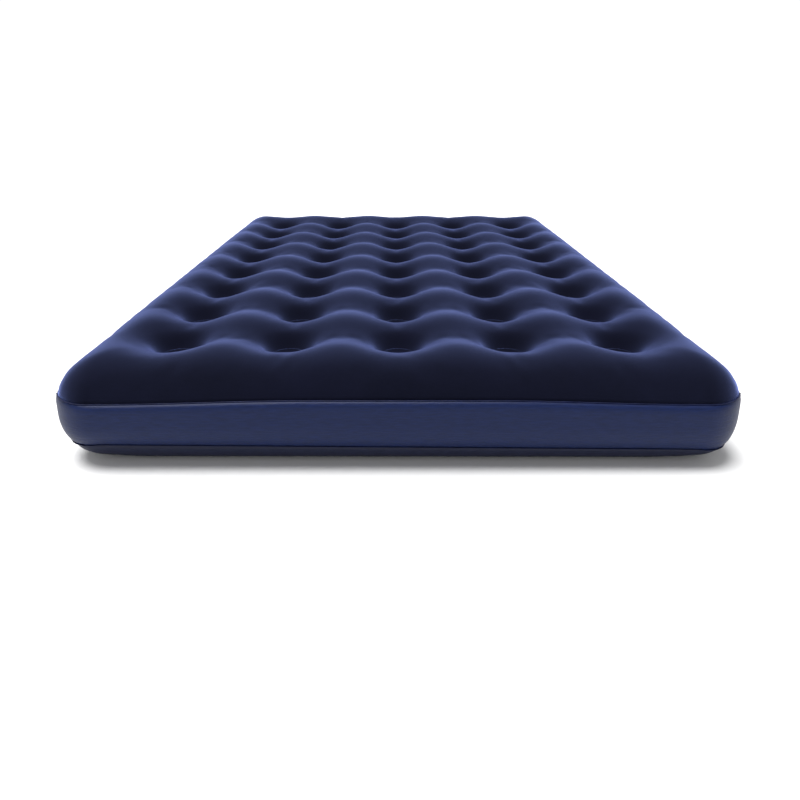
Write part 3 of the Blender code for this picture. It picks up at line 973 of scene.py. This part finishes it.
def moulded(name, colour, roughness, grain):
    """Injection-moulded plastic with the faint grain of its tool."""
    made, tree, out = finish(name)
    place = node(tree, "ShaderNodeTexCoord").outputs["Object"]
    tool = node(tree, "ShaderNodeTexNoise", inputs={"Scale": 700.0, "Detail": 2.0}, links={"Vector": place})
    bump = node(
        tree,
        "ShaderNodeBump",
        inputs={"Strength": grain, "Distance": 0.0002},
        links={"Height": tool.outputs["Fac"]},
    )
    shader = node(
        tree,
        "ShaderNodeBsdfPrincipled",
        inputs={"Base Color": linear(colour), "Roughness": roughness, "IOR": 1.50},
        links={"Normal": bump.outputs["Normal"]},
    )
    tree.links.new(shader.outputs["BSDF"], out.inputs["Surface"])
    return made


VALVE_PVC = moulded("moulded_pvc_navy", "#1c2446", 0.38, 0.3)
INSERT_ABS = moulded("moulded_abs_black", "#16181f", 0.30, 0.2)
FLAP_PVC = moulded("pressed_pvc_clear_grey", "#5d6270", 0.35, 0.2)
SEAL_RUBBER = moulded("moulded_rubber_black", "#101010", 0.60, 0.4)

# %% [markdown]
# ## Coats
#
# Each piece takes one finish. The lips are the edge of the band's own sheet, a little darker where the weld
# has pressed them.

# %% Give each piece its finish


def coat(piece, material):
    """Give a piece one finish."""
    piece.data.materials.clear()
    piece.data.materials.append(material)


coat(top_sheet, FLOCK)
coat(side_band, BAND_PVC)
coat(base_sheet, BASE_PVC)
coat(top_lip, LIP_PVC)
coat(base_lip, LIP_PVC)
for coil in coils.values():
    coat(coil, COIL_PVC)
VALVE_FINISHES = {
    "valve_base": VALVE_PVC,
    "valve_seal": SEAL_RUBBER,
    "valve_insert": INSERT_ABS,
    "valve_flap": FLAP_PVC,
    "valve_cap": VALVE_PVC,
    "valve_strap": VALVE_PVC,
}
for name, material in VALVE_FINISHES.items():
    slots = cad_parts[name].material_slots
    for slot in slots:
        slot.material = material
    print(name, len(slots), "slot")

# %% [markdown]
# ## What rides on what
#
# The band, the base, the lips and the coils stay with the bed, and the frame's own band, base, coils and top
# are hidden. The top sheet is not attached; its place is baked into its points.

# %% Attach the pieces to the bed
for piece, cad_node, slot_name in (
    (side_band, "side_band", "band_pvc"),
    (base_sheet, "bottom_panel", "base_pvc"),
):
    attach(piece, "root")
    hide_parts(cad_node)
for piece in (top_lip, base_lip):
    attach(piece, "root")
for cad_node, coil in coils.items():
    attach(coil, "root")
    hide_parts(cad_node)
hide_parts("top_panel")
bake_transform(top_sheet)

# %% [markdown]
# ## Floor, light and camera
#
# The bed stands on a plain white floor. One broad light hangs overhead, so the crests are bright and the
# shoulder that faces the viewer stays dark, and a pale room, brightest low down, fills in the rest.

# %% Floor
FLOOR_SIZE = 200
start_clean()
bpy.ops.mesh.primitive_plane_add(size=1)
floor = bpy.context.object
floor.name = "floor"
floor.scale = (FLOOR_SIZE, FLOOR_SIZE, 1)
bpy.ops.object.transform_apply(location=False, rotation=False, scale=True)
floor_paint, floor_tree, floor_out = finish("matt_white_paint")
floor_shader = node(
    floor_tree,
    "ShaderNodeBsdfPrincipled",
    inputs={"Base Color": linear("#f4f4f4"), "Roughness": 0.9},
)
floor_tree.links.new(floor_shader.outputs["BSDF"], floor_out.inputs["Surface"])
coat(floor, floor_paint)

# %% Light
world = bpy.data.worlds.new("pale_room")
bpy.context.scene.world = world
world.use_nodes = True
room = world.node_tree
room.nodes.clear()
direction = node(room, "ShaderNodeTexCoord").outputs["Generated"]
rise = node(room, "ShaderNodeSeparateXYZ", links={"Vector": direction})
walls = node(room, "ShaderNodeValToRGB", links={"Fac": rise.outputs["Z"]})
walls.color_ramp.elements[0].position = 0.16
walls.color_ramp.elements[0].color = (1.0, 1.0, 1.0, 1.0)
walls.color_ramp.elements[1].position = 0.55
walls.color_ramp.elements[1].color = (0.35, 0.35, 0.35, 1.0)
glow = node(room, "ShaderNodeBackground", inputs={"Strength": 1.05}, links={"Color": walls.outputs["Color"]})
node(room, "ShaderNodeOutputWorld", links={"Surface": glow.outputs["Background"]})

overhead = bpy.data.lights.new("overhead", "SUN")
overhead.angle = radians(38)
overhead.energy = 4.6
overhead_holder = bpy.data.objects.new("overhead", overhead)
overhead_holder.rotation_euler = (radians(-1), radians(-12), 0)
bpy.context.scene.collection.objects.link(overhead_holder)

# %% Camera
LOOK_DOWN = 17
camera_data = bpy.data.cameras.new("viewer")
camera_data.sensor_width = 36
camera_data.lens = 29.57
camera_data.shift_x = 0.0088
camera_data.shift_y = -0.1141
camera = bpy.data.objects.new("viewer", camera_data)
camera.location = (-0.0108, -2.086, 0.6813)
camera.rotation_euler = (radians(90 - LOOK_DOWN), 0, 0)
bpy.context.scene.collection.objects.link(camera)
bpy.context.scene.camera = camera
bpy.context.scene.view_settings.view_transform = "Standard"
